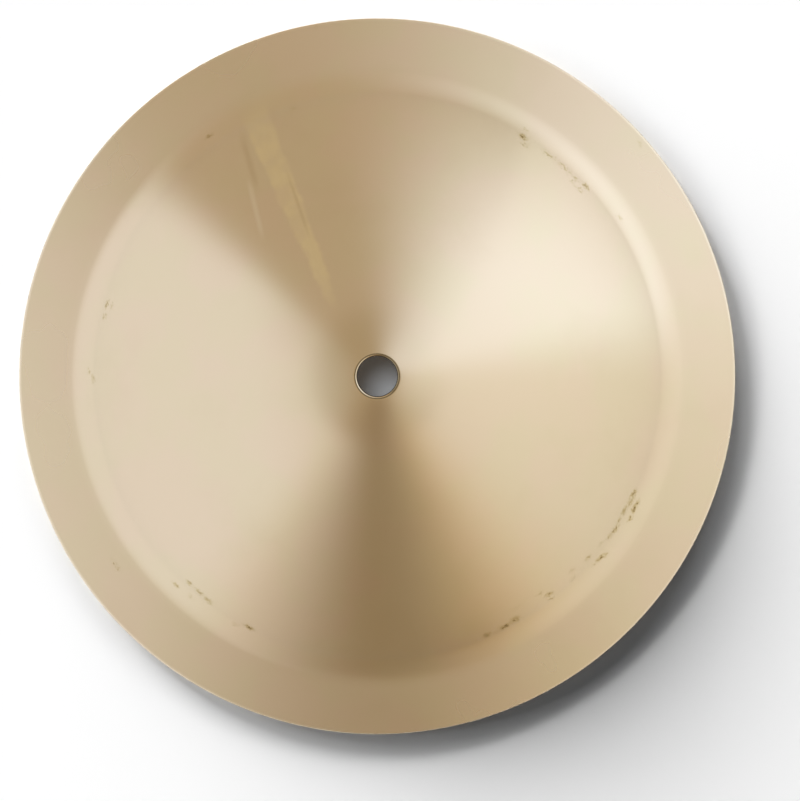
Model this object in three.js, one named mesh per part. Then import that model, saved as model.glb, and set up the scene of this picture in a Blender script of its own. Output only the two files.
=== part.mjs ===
// Bell cymbal: a single plate of bell bronze, cast, rolled, pressed and turned in one piece.
// A round dome runs from the flat seat at the stand hole down to a hollow shoulder and a narrow
// sloping flange. Lengths are in millimetres and +Z is up. The origin is on the axis, level with the
// standing ring, the narrow flat under the rim that the cymbal rests on.
import * as THREE from "three";

// Overall size
const diameter = 241.3;
const height = 41;

// Wall, measured square to the upper face: it thins evenly down the dome and stays thin in the flange
const hubThickness = 3.2;
const rimThickness = 2.4;

// Stand hole: a half-inch hole with both edges rounded, and a flat seat round it on each face
const holeDiameter = 12.7;
const holeEdgeRadius = 0.55;
const innerSeatWidth = 1.3;

// Dome: the slope that its upper face leaves the outer seat at
const crownSlopeDegrees = 6;

// Shoulder: the hollow curve, on the upper face, that turns the dome into the flange
const shoulderRadius = 18;

// Flange and rim
const flangeWidth = 18;
const flangeSlopeDegrees = 7.5;
const rimUpperEdgeRadius = 0.8;
const rimLowerEdgeRadius = 0.4;
const standingRingWidth = 0.8;

// How finely each stretch is divided
const stepsRound = 80;
const stepsDownDome = 14;
const stepsAcrossShoulder = 6;
const stepsPerSmallEdge = 2;

const rimRadius = diameter / 2;
const holeRadius = holeDiameter / 2;
const crownSlope = THREE.MathUtils.degToRad(crownSlopeDegrees);
const flangeSlope = THREE.MathUtils.degToRad(flangeSlopeDegrees);

// A profile point is (distance from the axis, height). A slope is the angle that the face falls at,
// going outwards, and this is the face's upward normal there.
const normalAt = (slope) => new THREE.Vector2(Math.sin(slope), Math.cos(slope));

// The flange's upper face is a straight line that lies one rim thickness off the standing ring's inner edge.
const standingRingInner = new THREE.Vector2(rimRadius - rimLowerEdgeRadius - standingRingWidth, 0);
const flangeFoot = normalAt(flangeSlope).multiplyScalar(rimThickness).add(standingRingInner);
const flangeHeightAt = (radius) => flangeFoot.y - (radius - flangeFoot.x) * Math.tan(flangeSlope);
const flangeTop = new THREE.Vector2(rimRadius - flangeWidth, flangeHeightAt(rimRadius - flangeWidth));

// The shoulder's centre is above the metal, and its arc ends tangent to the flange.
const shoulderCentre = normalAt(flangeSlope).multiplyScalar(shoulderRadius).add(flangeTop);
const shoulderPoint = (slope) => normalAt(slope).multiplyScalar(-shoulderRadius).add(shoulderCentre);

// The seats round the hole. The outer seat is wider than the inner one by what the wall's lean takes.
const seatInnerRadius = holeRadius + holeEdgeRadius;
const innerSeatRadius = seatInnerRadius + innerSeatWidth;
const outerSeatRadius = innerSeatRadius + hubThickness * Math.sin(crownSlope);
const crownTop = new THREE.Vector2(outerSeatRadius, height);

// The dome's arc leaves the outer seat at the crown slope, so its centre lies along the normal there.
// It touches the shoulder's arc, so the two centres lie both radii apart, and that fixes its radius.
const crownToShoulder = shoulderCentre.clone().sub(crownTop);
const domeRadius =
  (crownToShoulder.lengthSq() - shoulderRadius ** 2) /
  (2 * (shoulderRadius - crownToShoulder.dot(normalAt(crownSlope))));
const domeCentre = normalAt(crownSlope).multiplyScalar(-domeRadius).add(crownTop);
const domePoint = (slope) => normalAt(slope).multiplyScalar(domeRadius).add(domeCentre);

// The steepest slope, where the dome meets the shoulder, is the lean of the line between the centres.
const centreLine = shoulderCentre.clone().sub(domeCentre);
const footSlope = Math.atan2(centreLine.x, centreLine.y);

function wallThicknessAt(radius) {
  const share = (radius - outerSeatRadius) / (flangeTop.x - outerSeatRadius);
  return THREE.MathUtils.lerp(hubThickness, rimThickness, THREE.MathUtils.clamp(share, 0, 1));
}

// Stations down the upper face from the outer seat to the flange's foot, each with the slope there.
function upperFaceStations() {
  const stations = [];
  for (let i = 0; i <= stepsDownDome; i++) {
    const slope = THREE.MathUtils.lerp(crownSlope, footSlope, i / stepsDownDome);
    stations.push({ point: domePoint(slope), slope });
  }
  for (let i = 1; i <= stepsAcrossShoulder; i++) {
    const slope = THREE.MathUtils.lerp(footSlope, flangeSlope, i / stepsAcrossShoulder);
    stations.push({ point: shoulderPoint(slope), slope });
  }
  stations.push({ point: flangeFoot, slope: flangeSlope });
  return stations;
}

// Points of a small edge rounding, from one direction of its radius to another.
function edgeArc(centre, radius, fromAngle, toAngle) {
  const points = [];
  for (let i = 0; i <= stepsPerSmallEdge; i++) {
    const angle = THREE.MathUtils.lerp(fromAngle, toAngle, i / stepsPerSmallEdge);
    points.push(new THREE.Vector2(Math.cos(angle), Math.sin(angle)).multiplyScalar(radius).add(centre));
  }
  return points;
}

// The closed half section, once round: out over the upper face, round the rim, back under and up the hole.
function halfSection() {
  const stations = upperFaceStations();
  const upperFace = stations.map((station) => station.point);
  const lowerFace = stations.map(({ point, slope }) =>
    normalAt(slope).multiplyScalar(-wallThicknessAt(point.x)).add(point),
  );

  const innerSeatHeight = lowerFace[0].y;
  const rimArcStart = rimRadius - rimUpperEdgeRadius * (1 - Math.sin(flangeSlope));
  const rimUpperCentre = new THREE.Vector2(
    rimRadius - rimUpperEdgeRadius,
    flangeHeightAt(rimArcStart) - rimUpperEdgeRadius * Math.cos(flangeSlope),
  );
  const rimLowerCentre = new THREE.Vector2(rimRadius - rimLowerEdgeRadius, rimLowerEdgeRadius);
  const holeLowerCentre = new THREE.Vector2(seatInnerRadius, innerSeatHeight + holeEdgeRadius);
  const holeUpperCentre = new THREE.Vector2(seatInnerRadius, height - holeEdgeRadius);

  const points = [
    ...upperFace,
    ...edgeArc(rimUpperCentre, rimUpperEdgeRadius, Math.PI / 2 - flangeSlope, 0),
    ...edgeArc(rimLowerCentre, rimLowerEdgeRadius, 0, -Math.PI / 2),
    ...lowerFace.reverse(),
    ...edgeArc(holeLowerCentre, holeEdgeRadius, -Math.PI / 2, -Math.PI),
    ...edgeArc(holeUpperCentre, holeEdgeRadius, Math.PI, Math.PI / 2),
  ];
  points.push(points[0].clone());
  return points.reverse();
}

// Bell bronze with a buffed finish.
function bellBronze() {
  return new THREE.MeshStandardMaterial({ color: 0xd9c8a0, roughness: 0.24, metalness: 1 });
}

// The plate is the half section turned once round the axis.
function cymbalPlate() {
  const geometry = new THREE.LatheGeometry(halfSection(), stepsRound);
  geometry.rotateX(Math.PI / 2);
  const mesh = new THREE.Mesh(geometry, bellBronze());
  mesh.name = "cymbal_plate";
  return mesh;
}

const cymbal = new THREE.Group();
cymbal.name = "bell_cymbal";
cymbal.add(cymbalPlate());

export default cymbal;
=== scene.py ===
"""A buffed bronze bell cymbal on a pale studio floor.

Lengths are in metres and +Z is up. The origin is on the cymbal's axis, level with the narrow ring
under the rim that it stands on. A profile point is (distance from the axis, height), and a slope is
the angle that the upper face falls at, going outwards. Azimuths turn from +X towards +Y.
"""
from collections import namedtuple
from math import pi, radians

import bpy
import numpy as np
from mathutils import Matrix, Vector


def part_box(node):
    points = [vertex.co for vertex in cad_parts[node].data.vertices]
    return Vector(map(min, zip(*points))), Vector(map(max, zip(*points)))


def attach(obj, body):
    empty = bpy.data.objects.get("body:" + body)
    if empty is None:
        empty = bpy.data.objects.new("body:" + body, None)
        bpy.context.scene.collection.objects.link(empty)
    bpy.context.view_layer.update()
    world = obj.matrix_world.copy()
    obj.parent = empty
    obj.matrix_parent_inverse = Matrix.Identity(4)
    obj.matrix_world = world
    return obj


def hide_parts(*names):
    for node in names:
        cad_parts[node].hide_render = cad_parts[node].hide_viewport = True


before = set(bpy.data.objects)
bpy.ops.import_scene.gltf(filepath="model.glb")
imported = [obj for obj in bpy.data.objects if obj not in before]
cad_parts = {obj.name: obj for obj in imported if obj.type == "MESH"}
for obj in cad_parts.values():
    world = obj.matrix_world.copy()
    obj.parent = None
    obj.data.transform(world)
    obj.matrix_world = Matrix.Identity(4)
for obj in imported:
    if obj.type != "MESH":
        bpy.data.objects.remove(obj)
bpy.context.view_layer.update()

bl_info = {
    "name": "Bell Cymbal",
    "version": (1, 0, 0),
    "blender": (4, 5, 0),
    "location": "View3D > Sidebar > Cymbal",
    "description": "Builds a buffed bronze bell cymbal and the studio that it is seen in",
    "category": "Add Mesh",
}

BODY = "root"
PLATE_NODE = "cymbal_plate"
MM = 0.001

plate_low, plate_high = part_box(PLATE_NODE)


# Sizes and colours that a user would change

def length(name, description, default):
    """A property that holds a length in metres."""
    return bpy.props.FloatProperty(
        name=name, description=description, default=default, min=0.0,
        subtype="DISTANCE", unit="LENGTH", precision=5,
    )


def angle(name, description, degrees):
    """A property that holds an angle, given here in degrees."""
    return bpy.props.FloatProperty(
        name=name, description=description, default=radians(degrees), subtype="ANGLE", unit="ROTATION",
    )


def colour(name, description, default):
    """A property that holds a linear colour."""
    return bpy.props.FloatVectorProperty(
        name=name, description=description, default=default, size=3, min=0.0, max=1.0, subtype="COLOR",
    )


def share(name, description, default):
    """A property that holds a share, from 0 to 1."""
    return bpy.props.FloatProperty(
        name=name, description=description, default=default, min=0.0, max=1.0, subtype="FACTOR",
    )


def level(name, description, default):
    """A property that holds a light level, where 1 shows a colour as it is written."""
    return bpy.props.FloatProperty(name=name, description=description, default=default, min=0.0)


def shift(name, description, default):
    """A property that holds a shift of the picture, as a share of its long side."""
    return bpy.props.FloatProperty(name=name, description=description, default=default)


class CymbalShape(bpy.types.PropertyGroup):
    """The plate's sizes"""

    diameter: length("Diameter", "Across the rim", plate_high.x - plate_low.x)
    height: length("Height", "From the standing ring to the seat at the stand hole", plate_high.z)
    hub_thickness: length("Hub Thickness", "Wall at the stand hole", 3.2 * MM)
    rim_thickness: length("Rim Thickness", "Wall in the flange", 2.4 * MM)
    hole_diameter: length("Hole Diameter", "Across the stand hole", 12.7 * MM)
    hole_edge_radius: length("Hole Edge", "Rounding of both edges of the hole", 0.55 * MM)
    seat_width: length("Seat Width", "Flat ring that stays round the hole after buffing", 0.45 * MM)
    hub_blend_radius: length("Hub Blend", "Rounding where the seat turns into the dome", 5 * MM)
    crown_slope: angle("Crown Slope", "Slope that the dome leaves the seat at", 6)
    shoulder_radius: length("Shoulder Radius", "Hollow curve from the dome to the flange", 18 * MM)
    flange_width: length("Flange Width", "From the hollow curve to the rim", 18 * MM)
    flange_slope: angle("Flange Slope", "Slope of the flange", 7.5)
    rim_upper_edge: length("Upper Rim Edge", "Rounding of the rim's upper edge", 0.8 * MM)
    rim_lower_edge: length("Lower Rim Edge", "Rounding of the rim's lower edge", 0.4 * MM)
    standing_ring_width: length("Standing Ring", "Flat ring that the cymbal stands on", 0.8 * MM)


class BronzeFinish(bpy.types.PropertyGroup):
    """The bronze's colours, with painted highlight, reflection and shade, and how buffed it is"""

    bronze: colour("Bronze", "Clean buffed metal", (0.88, 0.75, 0.56))
    rosy: colour("Rosy Bronze", "Metal where the alloy shows more copper", (0.89, 0.735, 0.56))
    olive: colour("Olive Bronze", "Metal where the alloy shows more tin", (0.865, 0.753, 0.540))
    tarnish: colour("Tarnish", "Thin brown film, with bands on the inner face", (0.55, 0.40, 0.22))
    speck: colour("Specks", "Brown spots along the dome's foot", (0.22, 0.12, 0.03))
    stain: colour("Stains", "Pale olive stains round the specks", (0.52, 0.40, 0.12))
    # Colour of a dark line round the stand hole, and of painted shade in its wall and on one side
    hole_darkening: colour("Grime", "Dark line round the stand hole", (0.13, 0.10, 0.035))
    # Pale colour of a painted reflection of a narrow edge, drawn as a wedge on the dome
    polish: colour("Dried Polish", "Smear of polish left on the dome", (0.99, 0.86, 0.57))
    # Pale colour for a rubbed streak on the dome, and for a painted highlight along the rim's upper edge
    rubbed_and_highlight: colour("Rubbed Bronze", "Metal rubbed brighter, in a streak and at the rim", (0.97, 0.87, 0.70))
    roughness: share("Roughness", "Blur of the buffed dome", 0.18)
    flange_roughness: share("Flange Roughness", "Extra blur on the flange", 0.09)
    inner_roughness: share("Inner Roughness", "Extra blur on the turned inner face", 0.14)


class StudioStage(bpy.types.PropertyGroup):
    """The floor, the light and the camera"""

    floor_size: length("Floor Size", "Side of the square floor", 24.0)
    floor_drop: length("Floor Drop", "Gap under the standing ring", 2 * MM)
    floor_colour: colour("Floor", "Pale paper", (0.95, 0.95, 0.95))
    floor_glow: level("Floor Glow", "What lifts the floor to white for the camera and in mirrors", 0.03)
    camera_height: length("Camera Height", "Lens above the rim", 0.6)
    frame_width: length("Frame Width", "What the picture's long side spans at the rim", 269.9 * MM)
    view_right: shift("View Right", "How far to the right the picture is shifted", 0.0284)
    view_up: shift("View Up", "How far upwards the picture is shifted", -0.0303)
    key_azimuth: angle("Key Azimuth", "Where the middle shadow lamp stands", 128)
    key_elevation: angle("Key Elevation", "How high the shadow lamps stand", 14.3)
    key_size: angle("Key Size", "How wide a shadow lamp looks from the cymbal", 19.5)
    key_level: level("Key Level", "Light of all shadow lamps on the floor", 1.0)
    room_level: level("Room Level", "Light that the room's walls throw on the floor", 0.03)
    hole_level: level("Hole Level", "Light that falls through the stand hole on the floor", 0.27)


# Node helpers

def feed(tree, socket, value):
    """Links value into socket if it is an output, and otherwise stores it there."""
    if isinstance(value, bpy.types.NodeSocket):
        tree.links.new(value, socket)
    else:
        socket.default_value = value


def put(tree, kind, sockets=(), **settings):
    """A new node with its settings. Sockets are pairs of an input's name or number and what feeds it."""
    node = tree.nodes.new(kind)
    for key, value in settings.items():
        setattr(node, key, value)
    for key, value in sockets:
        feed(tree, node.inputs[key], value)
    return node


def calc(tree, operation, *values):
    """A Math node's result."""
    return put(tree, "ShaderNodeMath", enumerate(values), operation=operation).outputs[0]


def times(tree, first, second):
    """The product of two numbers."""
    return calc(tree, "MULTIPLY", first, second)


def plus(tree, first, second):
    """The sum of two numbers."""
    return calc(tree, "ADD", first, second)


def minus(tree, first, second):
    """The first number less the second."""
    return calc(tree, "SUBTRACT", first, second)


def ease(tree, value, start, end):
    """0 where value is at start and 1 where it is at end, with a smooth S between.

    Start may be the larger of the two.
    """
    low, high = sorted((start, end))
    at_low, at_high = (0.0, 1.0) if end >= start else (1.0, 0.0)
    sockets = (
        ("Value", value), ("From Min", low), ("From Max", high), ("To Min", at_low), ("To Max", at_high),
    )
    node = put(tree, "ShaderNodeMapRange", sockets, interpolation_type="SMOOTHSTEP")
    return node.outputs["Result"]


# A Mix node has these names on several sockets, so the ones for colours are told by number.
MIX_AMOUNT, MIX_FIRST, MIX_SECOND, MIX_COLOUR_OUT = 0, 6, 7, 2


def blend(tree, amount, first, second):
    """A colour that goes from first to second as amount goes from 0 to 1."""
    sockets = ((MIX_AMOUNT, amount), (MIX_FIRST, first), (MIX_SECOND, second))
    return put(tree, "ShaderNodeMix", sockets, data_type="RGBA").outputs[MIX_COLOUR_OUT]


def opaque(rgb):
    """A colour property as four numbers."""
    return (*rgb, 1.0)


def cover(tree, base, mask, depth, rgb):
    """The base colour with another one laid over it: as much as depth where the mask is 1."""
    return blend(tree, times(tree, mask, depth), base, opaque(rgb))


# Profile of the plate

def at(slope):
    """The upward normal at a slope, as points in the profile plane."""
    return np.stack([np.sin(slope), np.cos(slope)], axis=-1)


def arc(centre, radius, start, end, steps):
    """Points on a circle, as the direction from its centre turns from start to end.

    A direction is the angle from the horizontal.
    """
    turn = np.linspace(start, end, steps + 1)
    return centre + radius * np.stack([np.cos(turn), np.sin(turn)], axis=-1)


SEAT_STEPS, BLEND_STEPS, DOME_STEPS, SHOULDER_STEPS, FLANGE_STEPS, EDGE_STEPS = 2, 3, 64, 22, 9, 5

# How much the dome's points crowd towards its foot, where 1 spreads them evenly
DOME_CROWDING = 1.6


class Profile:
    """The plate's half section, closed, going out over the upper face and back along the lower one.

    The points are in that order, and is_lower tells which of them are on the lower face.
    """

    def __init__(self, shape):
        self.shape = shape
        self.rim = shape.diameter / 2
        self.seat_inner = shape.hole_diameter / 2 + shape.hole_edge_radius
        self.seat_outer = self.seat_inner + shape.seat_width
        ring_inner = np.array([self.rim - shape.rim_lower_edge - shape.standing_ring_width, 0.0])
        self.flange_foot = ring_inner + shape.rim_thickness * at(shape.flange_slope)
        flange_inner = self.rim - shape.flange_width
        self.flange_top = np.array([flange_inner, self.flange_height(flange_inner)])

        upper, slopes = self.upper_face()
        rim_edge = self.rim_edge()
        lower = self.lower_face(upper, slopes)
        self.points = np.concatenate([upper, rim_edge, lower, self.hole_edge(lower[-1, 1])])
        self.is_lower = np.zeros(len(self.points), bool)
        first = len(upper) + len(rim_edge)
        self.is_lower[first:first + len(lower)] = True

    def flange_height(self, radius):
        """How high the flange's straight upper face is, this far out from the axis."""
        return self.flange_foot[1] + (self.flange_foot[0] - radius) * np.tan(self.shape.flange_slope)

    def upper_face(self):
        """The upper face's points, and its slope at each of them.

        It is a flat seat, a short blend, the dome's arc, the shoulder's hollow arc and the straight flange.
        The dome's arc leaves the seat's edge at the crown slope and touches the shoulder's arc, so the two
        centres lie both radii apart, which fixes the dome's radius. The blend's arc touches the seat, and
        the dome's arc from inside, so those two centres lie the difference of their radii apart.
        """
        shape = self.shape
        shoulder_centre = self.flange_top + shape.shoulder_radius * at(shape.flange_slope)
        crown = np.array([self.seat_outer, shape.height])
        span = shoulder_centre - crown
        reach = shape.shoulder_radius - span @ at(shape.crown_slope)
        dome_radius = (span @ span - shape.shoulder_radius ** 2) / (2 * reach)
        dome_centre = crown - dome_radius * at(shape.crown_slope)
        lean = shoulder_centre - dome_centre
        foot_slope = np.arctan2(lean[0], lean[1])

        blend_level = shape.height - shape.hub_blend_radius
        blend_rise = blend_level - dome_centre[1]
        blend_out = np.sqrt((dome_radius - shape.hub_blend_radius) ** 2 - blend_rise ** 2)
        blend_centre = np.array([dome_centre[0] + blend_out, blend_level])
        blend_end = np.arctan2(blend_out, blend_rise)

        seat = np.linspace(self.seat_inner, blend_centre[0], SEAT_STEPS, endpoint=False)
        blend_slopes = np.linspace(0.0, blend_end, BLEND_STEPS, endpoint=False)
        crowded = 1 - (1 - np.arange(DOME_STEPS) / DOME_STEPS) ** DOME_CROWDING
        dome_slopes = blend_end + (foot_slope - blend_end) * crowded
        shoulder_slopes = np.linspace(foot_slope, shape.flange_slope, SHOULDER_STEPS, endpoint=False)
        along = np.linspace(0.0, 1.0, FLANGE_STEPS + 1)[:, None]
        points = np.concatenate([
            np.stack([seat, np.full_like(seat, shape.height)], axis=-1),
            blend_centre + shape.hub_blend_radius * at(blend_slopes),
            dome_centre + dome_radius * at(dome_slopes),
            shoulder_centre - shape.shoulder_radius * at(shoulder_slopes),
            self.flange_top + along * (self.flange_foot - self.flange_top),
        ])
        slopes = np.concatenate([
            np.zeros(SEAT_STEPS), blend_slopes, dome_slopes, shoulder_slopes,
            np.full(FLANGE_STEPS + 1, shape.flange_slope),
        ])
        return points, slopes

    def lower_face(self, upper, slopes):
        """The upper face moved in along its normal by the wall's thickness, going back inwards.

        The wall thins evenly from the seat to the flange. Every second point is enough for this side, which
        is seldom seen.
        """
        across = np.clip((upper[:, 0] - self.seat_outer) / (self.flange_top[0] - self.seat_outer), 0, 1)
        wall = self.shape.hub_thickness + (self.shape.rim_thickness - self.shape.hub_thickness) * across
        return (upper - wall[:, None] * at(slopes))[::-2]

    def rim_edge(self):
        """The arcs of the rim's upper and lower edges, with the upright edge between them."""
        slope, upper, lower = self.shape.flange_slope, self.shape.rim_upper_edge, self.shape.rim_lower_edge
        touching = self.flange_height(self.rim - upper * (1 - np.sin(slope)))
        upper_centre = np.array([self.rim - upper, touching - upper * np.cos(slope)])
        lower_centre = np.array([self.rim - lower, lower])
        return np.concatenate([
            arc(upper_centre, upper, pi / 2 - slope, 0, EDGE_STEPS),
            arc(lower_centre, lower, 0, -pi / 2, EDGE_STEPS),
        ])

    def hole_edge(self, lower_height):
        """The arcs of the hole's lower and upper edges, without the points that the two faces have."""
        radius = self.shape.hole_edge_radius
        lower_centre = np.array([self.seat_inner, lower_height + radius])
        upper_centre = np.array([self.seat_inner, self.shape.height - radius])
        return np.concatenate([
            arc(lower_centre, radius, -pi / 2, -pi, EDGE_STEPS)[1:],
            arc(upper_centre, radius, pi, pi / 2, EDGE_STEPS)[:-1],
        ])


STEPS_ROUND = 480


def lathe(name, profile):
    """A closed mesh: the profile's rows turned round the Z axis.

    A vertex is (r cos a, r sin a, z) for a profile point (r, z) and an azimuth a. Vertices run round
    each row, and the last row joins the first.
    """
    rows, columns = len(profile), STEPS_ROUND
    azimuth = 2 * pi * np.arange(columns) / columns
    radius, height = profile[:, :1], profile[:, 1:]
    vertices = np.stack([
        radius * np.cos(azimuth), radius * np.sin(azimuth), np.broadcast_to(height, (rows, columns)),
    ], axis=-1).reshape(-1, 3)

    row, column = np.meshgrid(np.arange(rows), np.arange(columns), indexing="ij")
    next_row, next_column = (row + 1) % rows, (column + 1) % columns
    corners = [(row, column), (next_row, column), (next_row, next_column), (row, next_column)]
    faces = np.stack([(r * columns + c).ravel() for r, c in corners], axis=-1)

    mesh = bpy.data.meshes.new(name)
    mesh.vertices.add(len(vertices))
    mesh.vertices.foreach_set("co", vertices.astype(np.float32).ravel())
    mesh.loops.add(faces.size)
    mesh.loops.foreach_set("vertex_index", faces.astype(np.int32).ravel())
    mesh.polygons.add(len(faces))
    mesh.polygons.foreach_set("loop_start", np.arange(0, faces.size, 4, dtype=np.int32))
    mesh.polygons.foreach_set("use_smooth", np.ones(len(faces), bool))
    mesh.update(calc_edges=True)
    mesh.validate()
    return mesh, vertices


# Marks that the plate has picked up

Speck = namedtuple("Speck", "azimuth radius length width strength")

# Brown specks, most of them along the dome's foot. The azimuth is in degrees, and the radius, the half
# length and the half width are in millimetres. Strength is how high the zone is in its middle.
SPECKS = (
    Speck(58.7, 93.4, 1.8, 1.1, 1.25), Speck(59, 96, 1.6, 0.9, 0.6), Speck(57.5, 91.5, 2.5, 1.5, 0.6),
    Speck(52.3, 93.3, 3.5, 1.0, 0.75), Speck(48.3, 93.3, 5.0, 1.5, 0.6), Speck(45, 93.2, 1.6, 0.9, 0.85),
    Speck(44.8, 91.3, 1.6, 0.9, 0.65), Speck(42.4, 94, 1.9, 1.0, 1.05), Speck(42.7, 91.5, 1.8, 1.2, 0.65),
    Speck(33.1, 97, 1.6, 1.0, 0.75), Speck(41.5, 118, 1.5, 1.0, 0.65),
    Speck(-24.5, 94, 1.7, 1.0, 1.15), Speck(-26, 96.6, 1.8, 0.9, 1.05), Speck(-27.4, 96.6, 1.8, 1.0, 1.2),
    Speck(-29.3, 97, 1.6, 0.9, 1.05), Speck(-26.2, 94.2, 3.0, 1.6, 0.8), Speck(-28.6, 93.6, 2.6, 0.9, 1.0),
    Speck(-31.2, 93.8, 2.0, 0.9, 0.75), Speck(-32.8, 94.4, 2.6, 1.1, 0.9), Speck(-34.4, 94, 2.4, 1.2, 0.8),
    Speck(-37, 93, 1.6, 0.8, 0.7), Speck(-39.2, 96, 2.1, 0.9, 1.25), Speck(-38, 97, 1.6, 0.8, 0.85),
    Speck(-40.7, 92.6, 1.7, 0.9, 0.9), Speck(-40.6, 95.8, 1.9, 1.0, 0.65), Speck(-45, 91.4, 1.9, 1.3, 0.6),
    Speck(-45.8, 93.5, 1.9, 1.3, 0.55), Speck(-51.8, 92.3, 2.2, 1.0, 0.95), Speck(-53.2, 90, 2.1, 1.1, 0.6),
    Speck(-52, 94, 1.6, 0.9, 0.7), Speck(-60.5, 93, 2.3, 1.1, 1.2), Speck(-63, 93.6, 2.5, 1.0, 1.15),
    Speck(-59, 89.5, 1.8, 0.9, 0.55), Speck(-67, 93.6, 2.0, 1.0, 0.9), Speck(-41.5, 107.5, 1.6, 1.0, 0.6),
    Speck(-40, 115, 1.6, 1.0, 0.55),
    Speck(243, 94, 2.4, 0.9, 1.15), Speck(240.3, 95.4, 1.8, 1.0, 0.65), Speck(233, 93.5, 2.4, 1.1, 0.9),
    Speck(230.5, 93.1, 3.0, 1.1, 0.75), Speck(227.7, 93, 1.8, 0.9, 1.0), Speck(226, 96.9, 1.9, 0.9, 0.95),
    Speck(229.7, 96.5, 1.8, 1.0, 0.6), Speck(216, 108.4, 3.0, 1.3, 0.6),
    Speck(180.5, 94.8, 1.7, 1.0, 0.85), Speck(179, 96.5, 1.6, 1.0, 0.6), Speck(167.6, 92.8, 1.7, 0.9, 0.7),
    Speck(165, 93.2, 2.0, 1.0, 0.8), Speck(165.2, 91.3, 1.7, 1.0, 0.65),
    Speck(125, 98, 1.7, 0.9, 0.9), Speck(107.4, 93.5, 1.8, 1.0, 0.6), Speck(100, 119, 1.8, 1.0, 0.7),
)


def speck_zones(vertices):
    """How much each vertex is inside a speck, 0 far from all of them and more than 1 in the darkest.

    Each speck is a bell curve, longer round the plate than across it: its height falls with the square
    of the distance round over the length, plus the square of the distance out over the width.
    """
    radius = np.hypot(vertices[:, 0], vertices[:, 1])
    azimuth = np.arctan2(vertices[:, 1], vertices[:, 0])
    zones = np.zeros(len(vertices))
    for speck in SPECKS:
        turned = (azimuth - radians(speck.azimuth) + pi) % (2 * pi) - pi
        round_it = turned * radius / (speck.length * MM)
        across_it = (radius - speck.radius * MM) / (speck.width * MM)
        zones = np.maximum(zones, speck.strength * np.exp(-round_it ** 2 - across_it ** 2))
    return zones


DOME_FINISH_ENDS = 98 * MM
FLANGE_FINISH_STARTS = 105 * MM


def flange_share(vertices):
    """0 on the dome and 1 on the flange, with a smooth S over the shoulder."""
    radius = np.hypot(vertices[:, 0], vertices[:, 1])
    over = np.clip((radius - DOME_FINISH_ENDS) / (FLANGE_FINISH_STARTS - DOME_FINISH_ENDS), 0, 1)
    return over * over * (3 - 2 * over)


def store(mesh, name, values):
    """Keeps one number for each vertex, for the material to read."""
    attribute = mesh.attributes.new(name, "FLOAT", "POINT")
    attribute.data.foreach_set("value", np.asarray(values, np.float32))


# Parts of the bronze's finish, with its painted highlight, reflection and shade

def off_axis(tree, position):
    """How far out from the axis a place is, and its two coordinates across it."""
    x, y, z = put(tree, "ShaderNodeSeparateXYZ", [(0, position)]).outputs
    radius = calc(tree, "SQRT", plus(tree, times(tree, x, x), times(tree, y, y)))
    return radius, x, y


def ring_coordinates(tree, position, across, around):
    """Coordinates stretched into rings: the radius times across, and x and y times around."""
    radius, x, y = off_axis(tree, position)
    stretched = (times(tree, radius, across), times(tree, x, around), times(tree, y, around))
    return put(tree, "ShaderNodeCombineXYZ", enumerate(stretched)).outputs[0]


# A noise pattern has so many cells in a metre, or in a unit of ring coordinates. Detail is how many finer
# noises are added to it, and roughness is how strong each of them is against the one before.
Pattern = namedtuple("Pattern", "cells detail roughness")


def noise(tree, position, pattern):
    """Noise from 0 to 1, mostly near a half."""
    sockets = (*zip(("Scale", "Detail", "Roughness"), pattern), ("Vector", position))
    return put(tree, "ShaderNodeTexNoise", sockets).outputs["Fac"]


def attribute(tree, name):
    """A number that the mesh holds."""
    return put(tree, "ShaderNodeAttribute", attribute_name=name).outputs["Fac"]


# The alloy's patches, and how much clean bronze is mixed into them
PATCHES = Pattern(40.0, 2.0, 0.5)
PATCH_EDGE = (0.38, 0.62)
CLEAN_SHARE = 0.4


def alloy(tree, position, finish):
    """The bare metal's colour, in faint patches."""
    patches = ease(tree, noise(tree, position, PATCHES), *PATCH_EDGE)
    patchy = blend(tree, patches, opaque(finish.rosy), opaque(finish.olive))
    return blend(tree, CLEAN_SHARE, patchy, opaque(finish.bronze))


# Rings that turning left on the inner face, in ring coordinates
RINGS = Pattern(1.0, 4.0, 0.7)
RING_STRETCH = (800.0, 6.0)

# Tarnish: how much of the cloudy film shows, how much more of it on the inner face, and how much of the
# bands that follow the rings there
FILM = Pattern(30.0, 5.0, 0.6)
FILM_EDGE, FILM_DEPTH, INNER_FILM_DEPTH = (0.50, 0.78), 0.06, 0.22
BAND_EDGE, BAND_DEPTH = (0.40, 0.66), 0.24


def tarnish(tree, position, inner, rings):
    """How much of the tarnish shows: the film, or the bands where they show more."""
    clouds = ease(tree, noise(tree, position, FILM), *FILM_EDGE)
    film = times(tree, clouds, calc(tree, "MULTIPLY_ADD", inner, INNER_FILM_DEPTH, FILM_DEPTH))
    bands = times(tree, ease(tree, rings, *BAND_EDGE), times(tree, inner, BAND_DEPTH))
    return calc(tree, "MAXIMUM", film, bands)


def line_coordinates(tree, position, start, end):
    """How far a place is along the line from start to end, how far to its side, and how long the line is.

    All three are in millimetres, seen from above.
    """
    start, end = Vector((*start, 0)), Vector((*end, 0))
    onwards = (end - start).normalized()
    sideways = Vector((-onwards.y, onwards.x, 0))
    found = []
    for direction in (onwards, sideways):
        sockets = ((0, position), (1, direction / MM))
        dot = put(tree, "ShaderNodeVectorMath", sockets, operation="DOT_PRODUCT")
        found.append(minus(tree, dot.outputs["Value"], start.dot(direction)))
    return found[0], calc(tree, "ABSOLUTE", found[1]), (end - start).length


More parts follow.
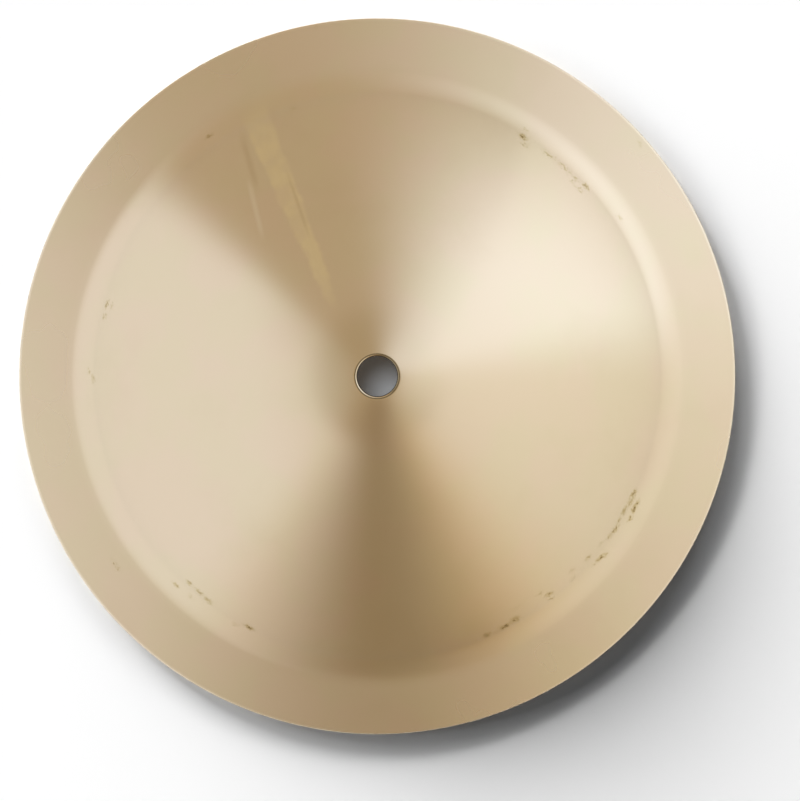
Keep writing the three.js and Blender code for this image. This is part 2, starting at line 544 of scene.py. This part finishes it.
# Thin lines that a cloth left on the dome, in millimetres as seen from above. Depth is how much of the
# line's colour shows, and the line fades over this share of its length at each end.
Streak = namedtuple("Streak", "start end half_width depth")
BRIGHT_STREAK = Streak((-42.6, 66.0), (-36.3, 42.4), 0.7, 0.7)
DULL_STREAKS = (
    Streak((-45.6, 82.0), (-38.4, 58.8), 0.9, 0.22),
    Streak((-29.9, 68.0), (-21.2, 43.0), 0.5, 0.20),
)
STREAK_FADE = 0.3


def streak(tree, position, line):
    """1 along the middle of a soft line, fading to its sides and ends."""
    along, aside, reach = line_coordinates(tree, position, line.start, line.end)
    fade_in = ease(tree, along, 0, STREAK_FADE * reach)
    fade_out = ease(tree, along, reach, (1 - STREAK_FADE) * reach)
    return times(tree, times(tree, fade_in, fade_out), ease(tree, aside, 2 * line.half_width, 0))


# A painted reflection of a narrow edge, drawn as a pale wedge on the dome, in millimetres too. Its half
# width is the root of the distance from its start times the spread. It fades in at these distances from its
# start, and out at these beyond its end.
REFLECTION_START, REFLECTION_END = (-11.5, 17.0), (-41.6, 89.0)
REFLECTION_SPREAD, REFLECTION_EDGE = 0.52, (0.9, -1.0)
REFLECTION_FADE_IN, REFLECTION_FADE_OUT = (1, 15), (4, -12)
RAGGED = Pattern(170.0, 4.0, 0.6)
RAGGED_RANGE = 3.0


def reflection_wedge(tree, position):
    """1 inside the wedge of painted reflection, and 0 outside, with a ragged edge between."""
    along, aside, reach = line_coordinates(tree, position, REFLECTION_START, REFLECTION_END)
    half_width = times(tree, calc(tree, "SQRT", calc(tree, "MAXIMUM", along, 0.0)), REFLECTION_SPREAD)
    ragged = calc(tree, "MULTIPLY_ADD", noise(tree, position, RAGGED), RAGGED_RANGE, -RAGGED_RANGE / 2)
    past = plus(tree, minus(tree, aside, half_width), ragged)
    fade_in = ease(tree, along, *REFLECTION_FADE_IN)
    fade_out = ease(tree, along, *(reach + beyond for beyond in REFLECTION_FADE_OUT))
    return times(tree, times(tree, fade_in, fade_out), ease(tree, past, *REFLECTION_EDGE))


# How much of the painted reflection's colour shows inside its wedge at least, and how much more in its
# mottle
MOTTLE = Pattern(130.0, 3.0, 0.5)
MOTTLE_EDGE = (0.35, 0.65)
REFLECTION_DEPTH, MOTTLE_DEPTH = 0.40, 0.40


def mottle(tree, position):
    """How much of the painted reflection's colour shows inside its wedge."""
    clouds = ease(tree, noise(tree, position, MOTTLE), *MOTTLE_EDGE)
    return calc(tree, "MULTIPLY_ADD", clouds, MOTTLE_DEPTH, REFLECTION_DEPTH)


# Grains inside the speck zones, in ring coordinates. Noise and zone are added by these weights. Stain and
# speck begin and are full where the sum reaches these edges, and the halo where the zone alone does.
GRAINS = Pattern(1.0, 2.0, 0.6)
GRAIN_STRETCH = (1700.0, 1100.0)
GRAIN_WEIGHT, ZONE_WEIGHT = 1.1, 0.50
HALO_EDGE, HALO_DEPTH = (0.1, 1.0), 0.14
STAIN_EDGE, STAIN_DEPTH = (0.76, 1.0), 0.40
SPECK_EDGE, SPECK_DEPTH = (0.92, 1.30), 0.85


def speck_layers(tree, position):
    """How much stain shows, a soft halo with more close round the grains, and how much a place is speck."""
    zone = attribute(tree, "speck_zone")
    grain = noise(tree, ring_coordinates(tree, position, *GRAIN_STRETCH), GRAINS)
    inside = calc(tree, "MULTIPLY_ADD", grain, GRAIN_WEIGHT, times(tree, zone, ZONE_WEIGHT))
    close = times(tree, ease(tree, inside, *STAIN_EDGE), STAIN_DEPTH)
    stain = calc(tree, "MULTIPLY_ADD", ease(tree, zone, *HALO_EDGE), HALO_DEPTH, close)
    return stain, ease(tree, inside, *SPECK_EDGE)


# A painted highlight: the rim's upper edge is painted paler between these radii, in millimetres from the
# axis.
RIM_HIGHLIGHT_RADII, RIM_HIGHLIGHT_DEPTH = (119.5, 120.1), 0.5

# Darkening round the stand hole, in millimetres from the axis: a thin dark line on the seat, painted shade
# on the hole's wall, and painted shade on the hole's rounded edge on one side, which is the side that the
# two shares of X and Y point to
LINE_RADIUS, LINE_EDGE, LINE_DEPTH = 7.06, (0.30, 0.05), 0.8
WALL_RADII, WALL_DEPTH = (6.66, 6.52), 0.92
ROUNDED_RADII, ROUNDED_DEPTH = (7.15, 6.85), 0.72
SHADED_SIDE, SHADED_SIDE_EDGE = (0.95, 0.31), (1 * MM, 4 * MM)


def hole_darkening_mask(tree, radius, x, y):
    """A dark line round the stand hole, and painted shade in its wall and on one side. The radius is in
    millimetres, x and y are in metres.
    """
    off_line = calc(tree, "ABSOLUTE", minus(tree, radius, LINE_RADIUS))
    line = times(tree, ease(tree, off_line, *LINE_EDGE), LINE_DEPTH)
    # Painted shade on the hole's wall
    wall = times(tree, ease(tree, radius, *WALL_RADII), WALL_DEPTH)
    # Painted shade on the hole's rounded edge, on one side only
    towards = plus(tree, times(tree, x, SHADED_SIDE[0]), times(tree, y, SHADED_SIDE[1]))
    side = times(tree, ease(tree, towards, *SHADED_SIDE_EDGE), ease(tree, radius, *ROUNDED_RADII))
    side = times(tree, side, ROUNDED_DEPTH)
    return calc(tree, "MAXIMUM", calc(tree, "MAXIMUM", line, wall), side)


# Materials

# What the bronze's colour, blur and relief share: where a place is, whether it is on the inner or the
# outer face, the rings' noise, and how much it is covered by the painted reflection, stain and speck
Marks = namedtuple("Marks", "position inner outer rings polish stain speck")


def bronze_colour(tree, marks, finish):
    """The bronze's colour, laid on in layers.

    From below they are the patchy alloy, thin tarnish, a painted reflection drawn as a pale wedge, a bright
    streak, a painted highlight along the rim, two dull streaks, stains, specks, and round the stand hole a
    dark line with painted shade in its wall and on one side. Each one covers the last by its mask times its
    depth. On the inner face only the first two show.
    """
    radius, x, y = off_axis(tree, marks.position)
    radius = calc(tree, "DIVIDE", radius, MM)
    base = alloy(tree, marks.position, finish)
    tarnished = tarnish(tree, marks.position, marks.inner, marks.rings)
    base = blend(tree, tarnished, base, opaque(finish.tarnish))
    # Painted reflection: a pale wedge on the dome
    base = cover(tree, base, marks.polish, mottle(tree, marks.position), finish.polish)
    bright = times(tree, streak(tree, marks.position, BRIGHT_STREAK), marks.outer)
    base = cover(tree, base, bright, BRIGHT_STREAK.depth, finish.rubbed_and_highlight)
    # Painted highlight: a paler band along the rim's upper edge
    rim = times(tree, ease(tree, radius, *RIM_HIGHLIGHT_RADII), marks.outer)
    base = cover(tree, base, rim, RIM_HIGHLIGHT_DEPTH, finish.rubbed_and_highlight)
    for line in DULL_STREAKS:
        dull = times(tree, streak(tree, marks.position, line), marks.outer)
        base = cover(tree, base, dull, line.depth, finish.tarnish)
    base = blend(tree, marks.stain, base, opaque(finish.stain))
    base = cover(tree, base, marks.speck, SPECK_DEPTH, finish.speck)
    # Dark line and painted shade round the stand hole
    return cover(tree, base, hole_darkening_mask(tree, radius, x, y), marks.outer, finish.hole_darkening)


# How far the blur wanders in soft clouds, and how much blur rings, specks and the painted reflection's
# wedge add
BLUR_CLOUDS = Pattern(22.0, 3.0, 0.5)
BLUR_RANGE = 0.04
RING_BLUR, SPECK_BLUR, REFLECTION_BLUR = 0.25, 0.25, 0.03


def bronze_blur(tree, marks, finish):
    """The bronze's roughness: the dome's, with what the clouds, rings, flange, inner face and marks add."""
    clouds = noise(tree, marks.position, BLUR_CLOUDS)
    blur = calc(tree, "MULTIPLY_ADD", clouds, BLUR_RANGE, finish.roughness - BLUR_RANGE / 2)
    ring_blur = times(tree, marks.inner, RING_BLUR)
    blur = calc(tree, "MULTIPLY_ADD", minus(tree, marks.rings, 0.5), ring_blur, blur)
    for mask, more in (
        (attribute(tree, "flange_share"), finish.flange_roughness),
        (marks.inner, finish.inner_roughness),
        (marks.speck, SPECK_BLUR),
        (marks.polish, REFLECTION_BLUR),
    ):
        blur = plus(tree, blur, times(tree, mask, more))
    return blur


# How deep the inner face's rings are, and the mild wave that bends the reflections on both faces
RING_HEIGHT = 0.014 * MM
WAVE = Pattern(16.0, 1.0, 0.5)
WAVE_HEIGHT = 0.12 * MM


def bronze_relief(tree, marks):
    """The bronze's normal, with the rings and the wave."""
    rings = put(tree, "ShaderNodeBump", (
        ("Strength", 1.0), ("Height", marks.rings), ("Distance", times(tree, marks.inner, RING_HEIGHT)),
    ))
    wave = put(tree, "ShaderNodeBump", (
        ("Strength", 1.0), ("Height", noise(tree, marks.position, WAVE)), ("Distance", WAVE_HEIGHT),
        ("Normal", rings.outputs["Normal"]),
    ))
    return wave.outputs["Normal"]


def bronze_material(finish):
    """Buffed bell bronze, with the marks that it has picked up, painted highlight, reflection and shade,
    and a turned inner face.
    """
    material = bpy.data.materials.new("buffed_bell_bronze")
    material.use_nodes = True
    tree = material.node_tree
    position = put(tree, "ShaderNodeTexCoord").outputs["Object"]
    inner = attribute(tree, "inner_face")
    outer = minus(tree, 1.0, inner)
    rings = noise(tree, ring_coordinates(tree, position, *RING_STRETCH), RINGS)
    polish = times(tree, reflection_wedge(tree, position), outer)
    marks = Marks(position, inner, outer, rings, polish, *speck_layers(tree, position))
    shader = tree.nodes["Principled BSDF"].inputs
    shader["Metallic"].default_value = 1.0
    feed(tree, shader["Base Color"], bronze_colour(tree, marks, finish))
    feed(tree, shader["Roughness"], bronze_blur(tree, marks, finish))
    feed(tree, shader["Normal"], bronze_relief(tree, marks))
    return material


def seen(tree):
    """1 for what the camera sees, straight, in a mirror or through glass, and 0 for light on a surface."""
    path = put(tree, "ShaderNodeLightPath").outputs
    mirrored = calc(tree, "MAXIMUM", path["Is Glossy Ray"], path["Is Transmission Ray"])
    return calc(tree, "MAXIMUM", path["Is Camera Ray"], mirrored)


def floor_material(stage):
    """Matt white paper. It glows a little for the camera and in mirrors, so that it shows white."""
    material = bpy.data.materials.new("white_paper")
    material.use_nodes = True
    tree = material.node_tree
    tree.nodes.clear()
    paper = put(tree, "ShaderNodeBsdfDiffuse", [("Color", opaque(stage.floor_colour))])
    glow = put(tree, "ShaderNodeEmission", [("Strength", times(tree, seen(tree), stage.floor_glow))])
    total = put(tree, "ShaderNodeAddShader", [(0, paper.outputs[0]), (1, glow.outputs[0])])
    put(tree, "ShaderNodeOutputMaterial", [("Surface", total.outputs[0])])
    return material


# Surroundings that the bronze mirrors

Softbox = namedtuple(
    "Softbox", "faces start start_edge end end_edge top top_edge bottom bottom_edge colour",
)

# Upright soft panels round the cymbal, in degrees: the azimuth that each faces, the azimuths that it runs
# from and to, how far off the zenith its top and bottom are, how soft each of these edges is, and its
# colour. Each one hides those before it.
SOFTBOXES = {
    "dark panel": Softbox(267, 250.5, 20, 301, 10, 11, 2, 96, 6, (0.279, 0.209, 0.126)),
    "warm card": Softbox(303, 294, 18, 307, 22, 18, 7, 85, 15, (0.619, 0.456, 0.215)),
    "right wall": Softbox(-30, -36, 68, 52, 42, 11, 4, 76, 35, (0.890, 0.877, 0.823)),
    "right lamp": Softbox(75, 8, 10, 69, 34, 2, 56, 79, 44, (1.087, 1.156, 1.260)),
    "left lamp": Softbox(186, 138.8, 5.7, 233.5, 9.5, 22, 15.5, 99, 9, (0.842, 0.838, 0.852)),
}

# The room behind the panels and below them. The two walls blend where a direction's Y passes these values,
# the ceiling's edge is in degrees off the zenith, and the table's dark edge and the room below it begin and
# are full at these degrees above the horizon.
UPPER_WALL, LOWER_WALL, WALL_BLEND = (0.494, 0.409, 0.300), (0.751, 0.705, 0.641), (0.01, 0.33)
CEILING, CEILING_EDGE = (0.412, 0.336, 0.216), (24.6, 21.2)
TABLE_EDGE, TABLE_EDGE_HEIGHT = (0.038, 0.024, 0.015), (8.0, -2.0)
LOWER_ROOM, LOWER_ROOM_HEIGHT = (0.80, 0.74, 0.66), (-4.0, -24.0)
WHITE = (1.0, 1.0, 1.0)


def softbox(tree, direction, box):
    """How much of each direction a panel fills, from 0 to 1.

    Turning runs round the axis from where the panel faces, and lean runs from the zenith down towards it.
    How far a direction is inside each of the four edges is multiplied.
    """
    x, y, up = direction
    cosine, sine = np.cos(radians(box.faces)), np.sin(radians(box.faces))
    ahead = plus(tree, times(tree, x, cosine), times(tree, y, sine))
    aside = minus(tree, times(tree, y, cosine), times(tree, x, sine))
    turning = calc(tree, "ARCTAN2", aside, ahead)
    lean = calc(tree, "ARCTAN2", ahead, up)
    inside = 1.0
    for value, edge, softness in (
        (turning, box.start - box.faces, box.start_edge),
        (turning, box.end - box.faces, -box.end_edge),
        (lean, box.top, box.top_edge),
        (lean, box.bottom, -box.bottom_edge),
    ):
        side = ease(tree, value, radians(edge - softness), radians(edge + softness))
        inside = times(tree, inside, side)
    return inside


def surroundings(stage):
    """The studio round the cymbal, as the bronze mirrors it, with a plain white backdrop for the camera.

    What falls from it on the floor, straight or by way of the bronze, is only the room level.
    """
    world = bpy.data.worlds.new("studio_surroundings")
    world.use_nodes = True
    tree = world.node_tree
    tree.nodes.clear()
    towards = put(tree, "ShaderNodeTexCoord").outputs["Generated"]
    direction = put(tree, "ShaderNodeSeparateXYZ", [(0, towards)]).outputs
    height = calc(tree, "ARCSINE", direction[2])

    shade = blend(tree, ease(tree, direction[1], *WALL_BLEND), opaque(LOWER_WALL), opaque(UPPER_WALL))
    ceiling = ease(tree, height, *(pi / 2 - radians(edge) for edge in CEILING_EDGE))
    shade = blend(tree, ceiling, shade, opaque(CEILING))
    for name, box in SOFTBOXES.items():
        shade = blend(tree, softbox(tree, direction, box), shade, opaque(box.colour))
        shade.node.label = name
    for rgb, edges in ((TABLE_EDGE, TABLE_EDGE_HEIGHT), (LOWER_ROOM, LOWER_ROOM_HEIGHT)):
        below = ease(tree, height, *(radians(edge) for edge in edges))
        shade = blend(tree, below, shade, opaque(rgb))

    path = put(tree, "ShaderNodeLightPath").outputs
    before_the_floor = calc(tree, "LESS_THAN", path["Diffuse Depth"], 0.5)
    mirrored = times(tree, path["Is Glossy Ray"], before_the_floor)
    shade = blend(tree, mirrored, opaque((stage.room_level,) * 3), shade)
    shade = blend(tree, path["Is Camera Ray"], shade, opaque(WHITE))
    background = put(tree, "ShaderNodeBackground", [("Color", shade)])
    put(tree, "ShaderNodeOutputWorld", [("Surface", background.outputs[0])])
    bpy.context.scene.world = world


# The stage

def place(name, data):
    """A new object for data, in the scene."""
    thing = bpy.data.objects.new(name, data)
    bpy.context.scene.collection.objects.link(thing)
    return thing


def floor(stage):
    """A square of white paper just under the standing ring."""
    half = stage.floor_size / 2
    mesh = bpy.data.meshes.new("floor")
    corners = [(-half, -half), (half, -half), (half, half), (-half, half)]
    mesh.from_pydata([(x, y, -stage.floor_drop) for x, y in corners], [], [(0, 1, 2, 3)])
    mesh.materials.append(floor_material(stage))
    place("floor", mesh)


# Where each shadow lamp stands, in degrees round from the middle one, and its share of their light
SHADOW_LAMPS = ((0, 0.44), (-24, 0.18), (24, 0.20), (-48, 0.08), (48, 0.10))


def from_above(azimuth, elevation):
    """The unit vector towards a lamp: (cos e cos a, cos e sin a, sin e) for azimuth a and elevation e."""
    return Vector((
        np.cos(elevation) * np.cos(azimuth), np.cos(elevation) * np.sin(azimuth), np.sin(elevation),
    ))


def aim(lamp, towards):
    """Turns a lamp so that it shines from that side, and hides it from mirrors."""
    lamp.rotation_euler = towards.to_track_quat("Z", "Y").to_euler()
    lamp.visible_glossy = False


def shadow_lamps(stage):
    """Low, soft suns that draw the cymbal's shadow on the floor."""
    for number, (turned, share_of_light) in enumerate(SHADOW_LAMPS, 1):
        sun = bpy.data.lights.new(f"shadow_lamp_{number}", "SUN")
        sun.angle = stage.key_size
        sun.energy = pi * stage.key_level * share_of_light / np.sin(stage.key_elevation)
        aim(place(sun.name, sun), from_above(stage.key_azimuth + radians(turned), stage.key_elevation))


HOLE_LAMP_DISTANCE = 0.5
HOLE_LAMP_ELEVATION = radians(80)
HOLE_LAMP_BEAM = radians(16)
HOLE_LAMP_BEAM_EDGE = 0.3
HOLE_LAMP_RADIUS = 0.06
DAYLIGHT = (0.86, 0.93, 1.0)


def hole_lamp(stage):
    """A narrow lamp that lights the floor under the stand hole, most on the side away from the others.

    A spot's power is spread over a sphere, so what reaches the floor falls with the distance squared.
    """
    spot = bpy.data.lights.new("hole_lamp", "SPOT")
    spot.spot_size = HOLE_LAMP_BEAM
    spot.spot_blend = HOLE_LAMP_BEAM_EDGE
    spot.shadow_soft_size = HOLE_LAMP_RADIUS
    spot.color = DAYLIGHT
    spot.energy = 4 * pi ** 2 * HOLE_LAMP_DISTANCE ** 2 * stage.hole_level
    lamp = place("hole_lamp", spot)
    towards = from_above(stage.key_azimuth, HOLE_LAMP_ELEVATION)
    lamp.location = towards * HOLE_LAMP_DISTANCE + Vector((0, 0, plate_high.z))
    aim(lamp, towards)


SENSOR_WIDTH = 36.0
CLIP_START, CLIP_END = 0.01, 100.0

# How high the rim is widest, which is where the picture's scale is measured
RIM_LEVEL = 1.57 * MM


def camera(stage):
    """A camera straight over the axis, with the cymbal a little to the left of and above the middle.

    The lens is to the sensor's width as the camera's height above the rim is to the frame's width there.
    """
    data = bpy.data.cameras.new("camera")
    data.sensor_width = SENSOR_WIDTH
    data.lens = SENSOR_WIDTH * stage.camera_height / stage.frame_width
    data.shift_x, data.shift_y = stage.view_right, stage.view_up
    data.clip_start, data.clip_end = CLIP_START, CLIP_END
    thing = place("camera", data)
    thing.location = (0.0, 0.0, stage.camera_height + RIM_LEVEL)
    bpy.context.scene.camera = thing


# Operators and panel

class CymbalPlateOperator(bpy.types.Operator):
    """Add the bronze plate, with its dome, shoulder, flange and stand hole"""

    bl_idname = "cymbal.add_plate"
    bl_label = "Add Plate"

    def execute(self, context):
        profile = Profile(context.scene.cymbal_shape)
        mesh, vertices = lathe("bronze_plate", profile.points)
        inner = np.repeat(profile.is_lower, STEPS_ROUND)
        store(mesh, "inner_face", inner)
        store(mesh, "speck_zone", speck_zones(vertices) * ~inner)
        store(mesh, "flange_share", flange_share(vertices) * ~inner)
        mesh.materials.append(bronze_material(context.scene.cymbal_finish))
        plate = place("bronze_plate", mesh)
        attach(plate, BODY)
        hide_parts(PLATE_NODE)
        return {"FINISHED"}


class CymbalStageOperator(bpy.types.Operator):
    """Add the floor, the studio's light and the camera"""

    bl_idname = "cymbal.add_stage"
    bl_label = "Add Studio"

    def execute(self, context):
        stage = context.scene.cymbal_stage
        floor(stage)
        surroundings(stage)
        shadow_lamps(stage)
        hole_lamp(stage)
        camera(stage)
        context.scene.view_settings.view_transform = "Standard"
        return {"FINISHED"}


class CymbalPanel(bpy.types.Panel):
    """Lists the cymbal's sizes, finish and studio"""

    bl_idname = "VIEW3D_PT_cymbal"
    bl_label = "Bell Cymbal"
    bl_space_type = "VIEW_3D"
    bl_region_type = "UI"
    bl_category = "Cymbal"

    def draw(self, context):
        column = self.layout.column()
        for name, group in GROUPS.items():
            for key in group.__annotations__:
                column.prop(getattr(context.scene, name), key)
        column.operator(CymbalPlateOperator.bl_idname)
        column.operator(CymbalStageOperator.bl_idname)


CLASSES = (CymbalShape, BronzeFinish, StudioStage, CymbalPlateOperator, CymbalStageOperator, CymbalPanel)
GROUPS = {"cymbal_shape": CymbalShape, "cymbal_finish": BronzeFinish, "cymbal_stage": StudioStage}


def register():
    """Makes the classes and the scene's settings known to Blender."""
    for cls in CLASSES:
        bpy.utils.register_class(cls)
    for name, group in GROUPS.items():
        setattr(bpy.types.Scene, name, bpy.props.PointerProperty(type=group))


def unregister():
    """Takes them away again."""
    for name in GROUPS:
        delattr(bpy.types.Scene, name)
    for cls in reversed(CLASSES):
        bpy.utils.unregister_class(cls)


def main():
    """Builds the cymbal and its studio."""
    register()
    bpy.ops.cymbal.add_stage()
    bpy.ops.cymbal.add_plate()


if __name__ == "__main__":
    main()
